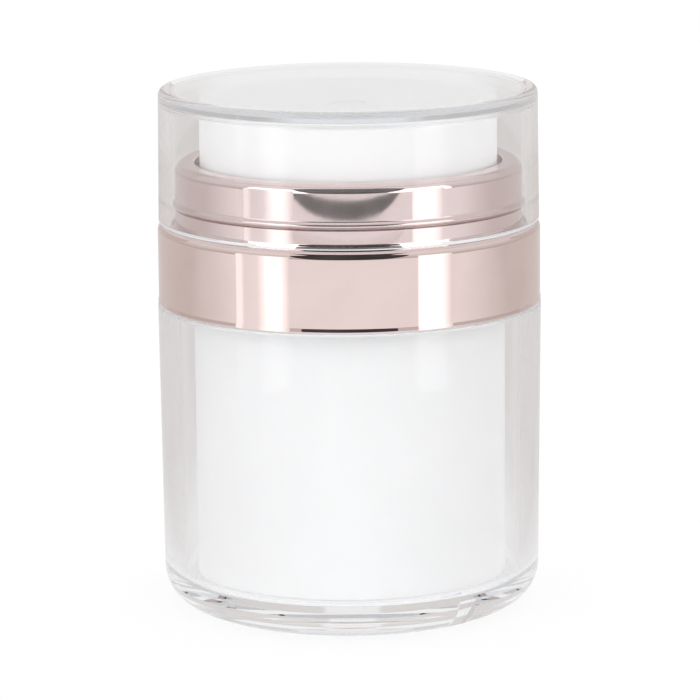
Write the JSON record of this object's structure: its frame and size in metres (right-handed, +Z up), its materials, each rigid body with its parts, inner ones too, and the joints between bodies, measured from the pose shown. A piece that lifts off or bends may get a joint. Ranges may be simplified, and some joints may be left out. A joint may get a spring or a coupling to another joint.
{
  "type": "airless pump jar",
  "caption": "Press-type airless cream jar: clear outer jar round a white inner bottle, mirror shoulder sleeve, wide press plate over a spring pump, clear push-fit cap.",
  "frame": {"origin": "middle of the foot ring on the table, on the jar's axis", "axes": "+Z up the jar's axis to the cap; the camera of the picture looks along +Y, so -Y is the front"},
  "size_m": [0.0622, 0.0622, 0.0845],
  "materials": {
    "clear_acrylic": "clear polished acrylic",
    "rose_gold_plate": "electroplated rose-gold mirror on moulded plastic",
    "white_plastic": "smooth opaque white moulding",
    "natural_polyethylene": "milky natural moulding",
    "seal_elastomer": "soft translucent grey",
    "stainless_steel": "drawn stainless wire"
  },
  "bodies": {
    "jar": {"outer_jar": "clear_acrylic", "inner_bottle": "white_plastic"},
    "follower": {"follower_piston": "natural_polyethylene"},
    "seal": {"lid_seal": "seal_elastomer"},
    "pump_head": {"shoulder_sleeve": "rose_gold_plate", "screw_collar": "white_plastic", "inner_lid": "white_plastic", "cylinder_gasket": "seal_elastomer", "pump_cylinder": "natural_polyethylene", "lock_cap": "white_plastic", "return_spring": "stainless_steel"},
    "plunger": {"press_plate": "white_plastic", "outlet_valve": "seal_elastomer", "main_stem": "white_plastic", "valve_rod": "natural_polyethylene"},
    "piston": {"pump_piston": "natural_polyethylene"},
    "ball": {"inlet_ball": "stainless_steel"},
    "cap": {"clear_cap": "clear_acrylic"}
  },
  "joints": [
    {"name": "follower_rise", "type": "slide", "parent": "jar", "child": "follower", "axis": [0, 0, 1], "range_m": [0, 0.0298]},
    {"name": "head_lift", "type": "slide", "parent": "jar", "child": "seal", "axis": [0, 0, 1], "range_m": [0, 0.00376]},
    {"name": "head_turn", "type": "hinge", "parent": "seal", "child": "pump_head", "pos_m": [0, 0, 0.0575], "axis": [0, 0, 1], "range_deg": [0, 540]},
    {"name": "press", "type": "slide", "parent": "pump_head", "child": "plunger", "axis": [0, 0, -1], "range_m": [0, 0.005], "stiffness_N_per_m": 300, "springref_m": -0.01, "deforming": ["return_spring"]},
    {"name": "piston_stroke", "type": "slide", "parent": "pump_head", "child": "piston", "axis": [0, 0, -1], "range_m": [0, 0.004]},
    {"name": "ball_lift", "type": "slide", "parent": "pump_head", "child": "ball", "axis": [0, 0, 1], "range_m": [0, 0.0015]},
    {"name": "cap_lift", "type": "slide", "parent": "pump_head", "child": "cap", "axis": [0, 0, 1], "range_m": [0, 0.028]}
  ],
  "couplings": [
    {"joint": "head_lift", "follows": "head_turn", "m_per_rad": 0.00039788},
    {"joint": "piston_stroke", "follows": "press", "ratio": 0.8}
  ]
}
